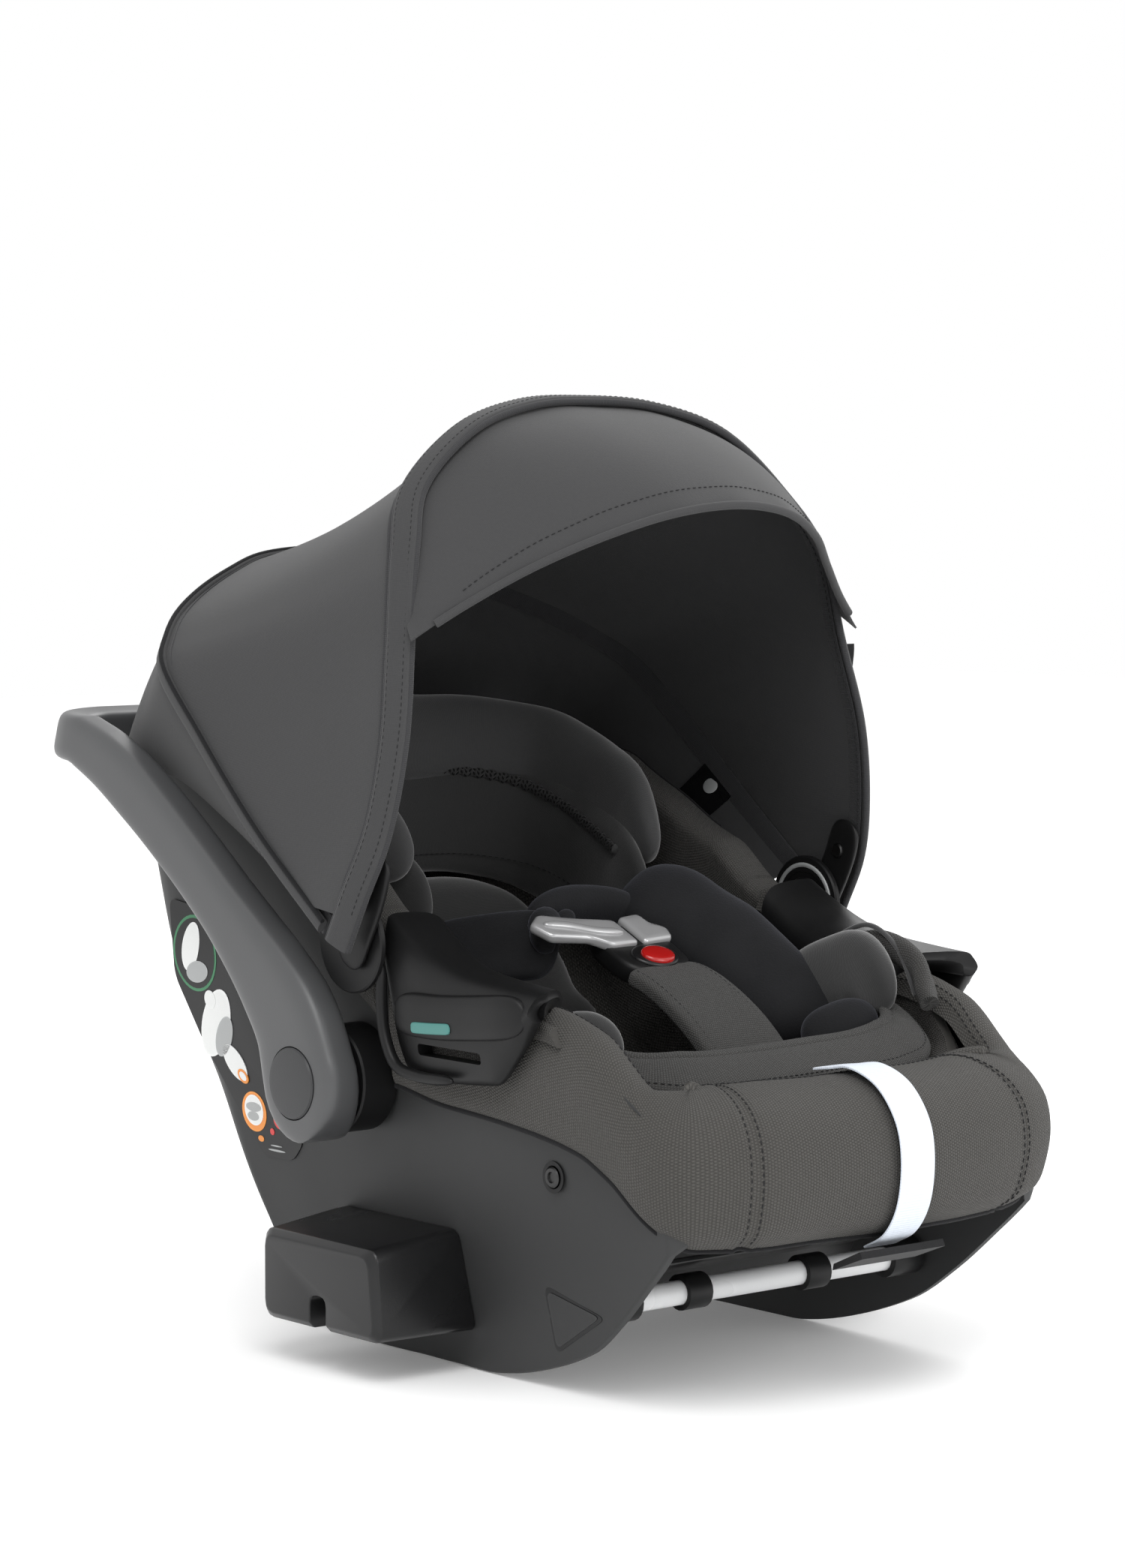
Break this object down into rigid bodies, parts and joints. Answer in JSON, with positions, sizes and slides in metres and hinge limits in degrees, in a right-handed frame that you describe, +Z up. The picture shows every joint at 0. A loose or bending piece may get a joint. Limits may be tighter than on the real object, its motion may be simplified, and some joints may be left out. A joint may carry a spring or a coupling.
{
  "type": "infant car seat",
  "caption": "Rear-facing infant car seat: rocking bucket shell with carry handle, folding canopy with visor, padded insert and buckled harness.",
  "frame": {"origin": "on the floor, below the middle of the bounding box", "axes": "+Z up; -Y towards the child's feet, the front lip; +X to the right seen from the front lip"},
  "size_m": [0.432, 0.6235, 0.5948],
  "materials": {
    "shell": "fine moulded texture",
    "foam": "expanded foam",
    "cover": "coarse textured weave, warm grey",
    "handle": "satin",
    "trim": "satin",
    "block": "satin",
    "steel": "bare",
    "steel_dark": "dark zinc",
    "label": "printed film with plain shapes",
    "teal": "satin",
    "tube": "satin",
    "bracket": "satin black",
    "binding": "woven tape",
    "canopy": "fine plain weave",
    "insert": "soft jersey",
    "insert_trim": "coarse weave",
    "velour": "velour",
    "buckle": "satin",
    "red": "gloss",
    "tongue": "polished",
    "white_webbing": "ribbed webbing",
    "strap_trim": "binding"
  },
  "bodies": {
    "root": {"shell_tub": "shell", "foam_liner": "foam", "seat_cover": "cover", "front_bolster": "cover", "handle_hub_drum_left": "trim", "handle_hub_drum_right": "trim", "handle_axle_left": "steel", "handle_axle_right": "steel", "docking_block_left": "block", "docking_block_right": "block", "side_badge_plate_left": "shell", "side_badge_plate_right": "shell", "side_label_left": "label", "side_label_right": "label", "side_screw_left": "steel_dark", "side_screw_right": "steel_dark", "belt_guide_left": "trim", "belt_guide_right": "trim", "belt_guide_insert_left": "teal", "belt_guide_insert_right": "teal", "front_tube": "tube", "tube_socket_left": "trim", "tube_socket_right": "trim", "tube_clip_1": "trim", "tube_clip_2": "trim", "tube_bracket": "bracket", "canopy_back_bow": "binding", "canopy_rear_panel": "canopy", "canopy_pivot_left": "trim", "canopy_pivot_right": "trim", "body_insert": "insert", "insert_lip": "insert_trim", "hip_wing_left": "insert", "hip_wing_right": "insert", "head_insert": "insert", "shoulder_pad_left": "velour", "shoulder_pad_right": "velour", "buckle_body": "buckle", "buckle_tongue_left": "tongue", "buckle_tongue_right": "tongue", "crotch_pad": "insert_trim", "adjuster_strap": "white_webbing", "strap_loop": "strap_trim"},
    "handle": {"handle_bar": "handle", "release_button_spring_left": "steel", "release_button_spring_right": "steel"},
    "release_button_left": {"handle_release_button_left": "trim"},
    "release_button_right": {"handle_release_button_right": "trim"},
    "canopy_front": {"canopy_front_bow": "binding", "canopy_main_panel": "canopy", "visor_panel": "canopy"},
    "visor": {"visor_wire": "canopy"},
    "buckle_release": {"buckle_button": "red"}
  },
  "joints": [
    {"name": "handle_turn", "type": "hinge", "parent": "root", "child": "handle", "pos_m": [0, 0.012, 0.175], "axis": [1, 0, 0], "range_deg": [-60, 0]},
    {"name": "release_button_left_press", "type": "slide", "parent": "handle", "child": "release_button_left", "axis": [1, 0, 0], "range_m": [0, 0.004], "stiffness_N_per_m": 500, "springref_m": -0.004},
    {"name": "release_button_right_press", "type": "slide", "parent": "handle", "child": "release_button_right", "axis": [-1, 0, 0], "range_m": [0, 0.004], "stiffness_N_per_m": 500, "springref_m": -0.004},
    {"name": "canopy_fold", "type": "hinge", "parent": "root", "child": "canopy_front", "pos_m": [0, -0.024, 0.258], "axis": [1, 0, 0], "range_deg": [-38, 0], "deforming": ["canopy_main_panel"]},
    {"name": "visor_fold", "type": "hinge", "parent": "canopy_front", "child": "visor", "pos_m": [0, -0.053, 0.44], "axis": [1, 0, 0], "range_deg": [-34, 0], "deforming": ["visor_panel"]},
    {"name": "buckle_press", "type": "slide", "parent": "root", "child": "buckle_release", "axis": [0, 0.4229, -0.9062], "range_m": [0, 0.003], "stiffness_N_per_m": 600, "springref_m": -0.003}
  ]
}
